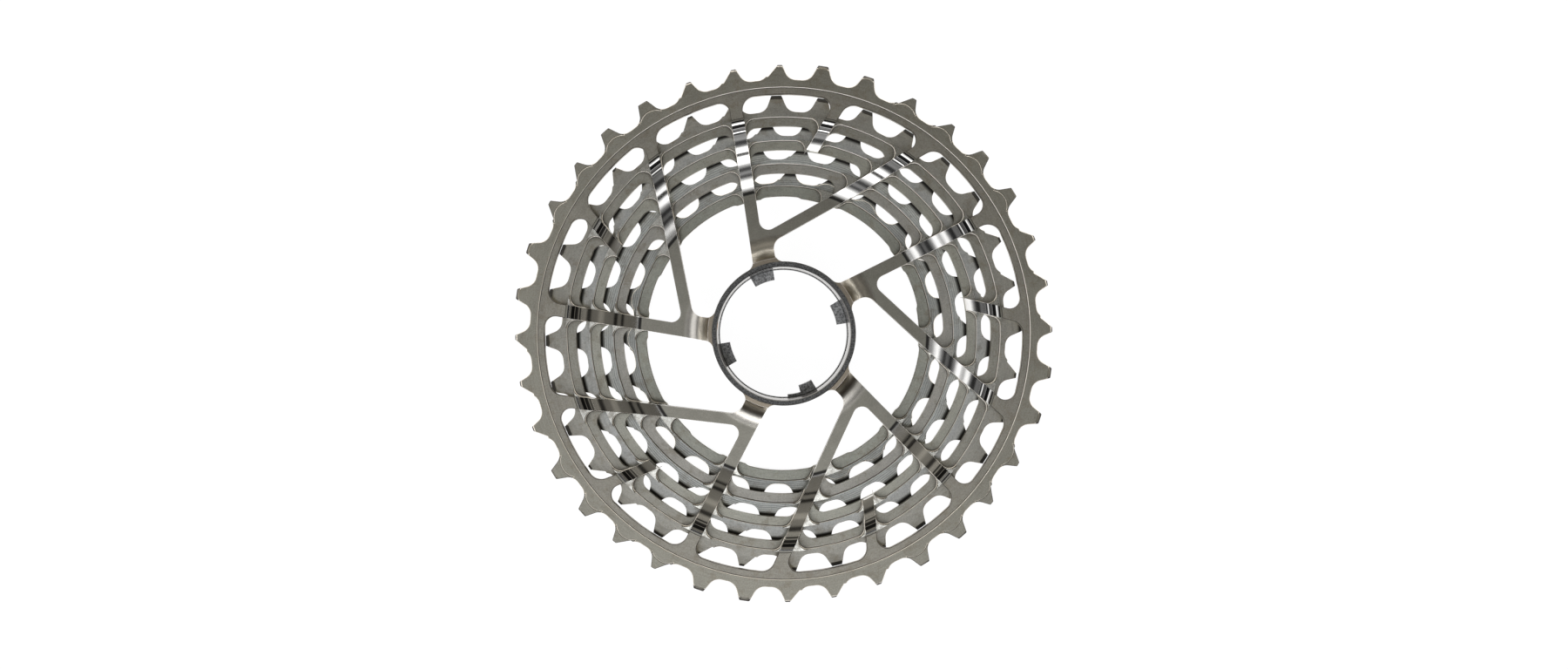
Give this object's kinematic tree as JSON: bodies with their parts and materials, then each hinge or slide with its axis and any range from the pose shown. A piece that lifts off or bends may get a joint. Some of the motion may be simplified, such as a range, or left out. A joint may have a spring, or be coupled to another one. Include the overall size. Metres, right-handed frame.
{
  "type": "cassette sprocket cluster",
  "caption": "Stack of toothed steel discs that step down in size, carried on a forked spider with a thin splined hub collar, for the large end of a bicycle cassette.",
  "frame": {"origin": "on the bore axis at the collar's back face, level with the back face of the largest disc", "axes": "+Z along the bore axis out of the back face, towards the wheel; the discs get smaller towards -Z; +Y is an arbitrary clock position"},
  "size_m": [0.146, 0.146, 0.0168],
  "materials": {
    "disc": "nickel plated, fine turned and milled faces, satin",
    "spider": "nickel plated, smooth turned curves, glossy",
    "collar": "nickel plated, fine grain, satin"
  },
  "bodies": {
    "root": {"sprocket_36t": "disc", "sprocket_32t": "disc", "sprocket_29t": "disc", "sprocket_26t": "disc", "sprocket_23t": "disc", "spider_arm_1": "spider", "spider_arm_2": "spider", "spider_arm_3": "spider", "spider_arm_4": "spider", "spider_arm_5": "spider", "bridge_arm_1": "spider", "bridge_arm_2": "spider", "bridge_arm_3": "spider", "bridge_arm_4": "spider", "bridge_arm_5": "spider", "webs_36_32": "spider", "webs_32_29": "spider", "webs_29_26": "spider", "webs_26_23": "spider", "hub_collar": "collar", "spline_lugs": "collar", "index_lug": "collar"}
  },
  "joints": []
}
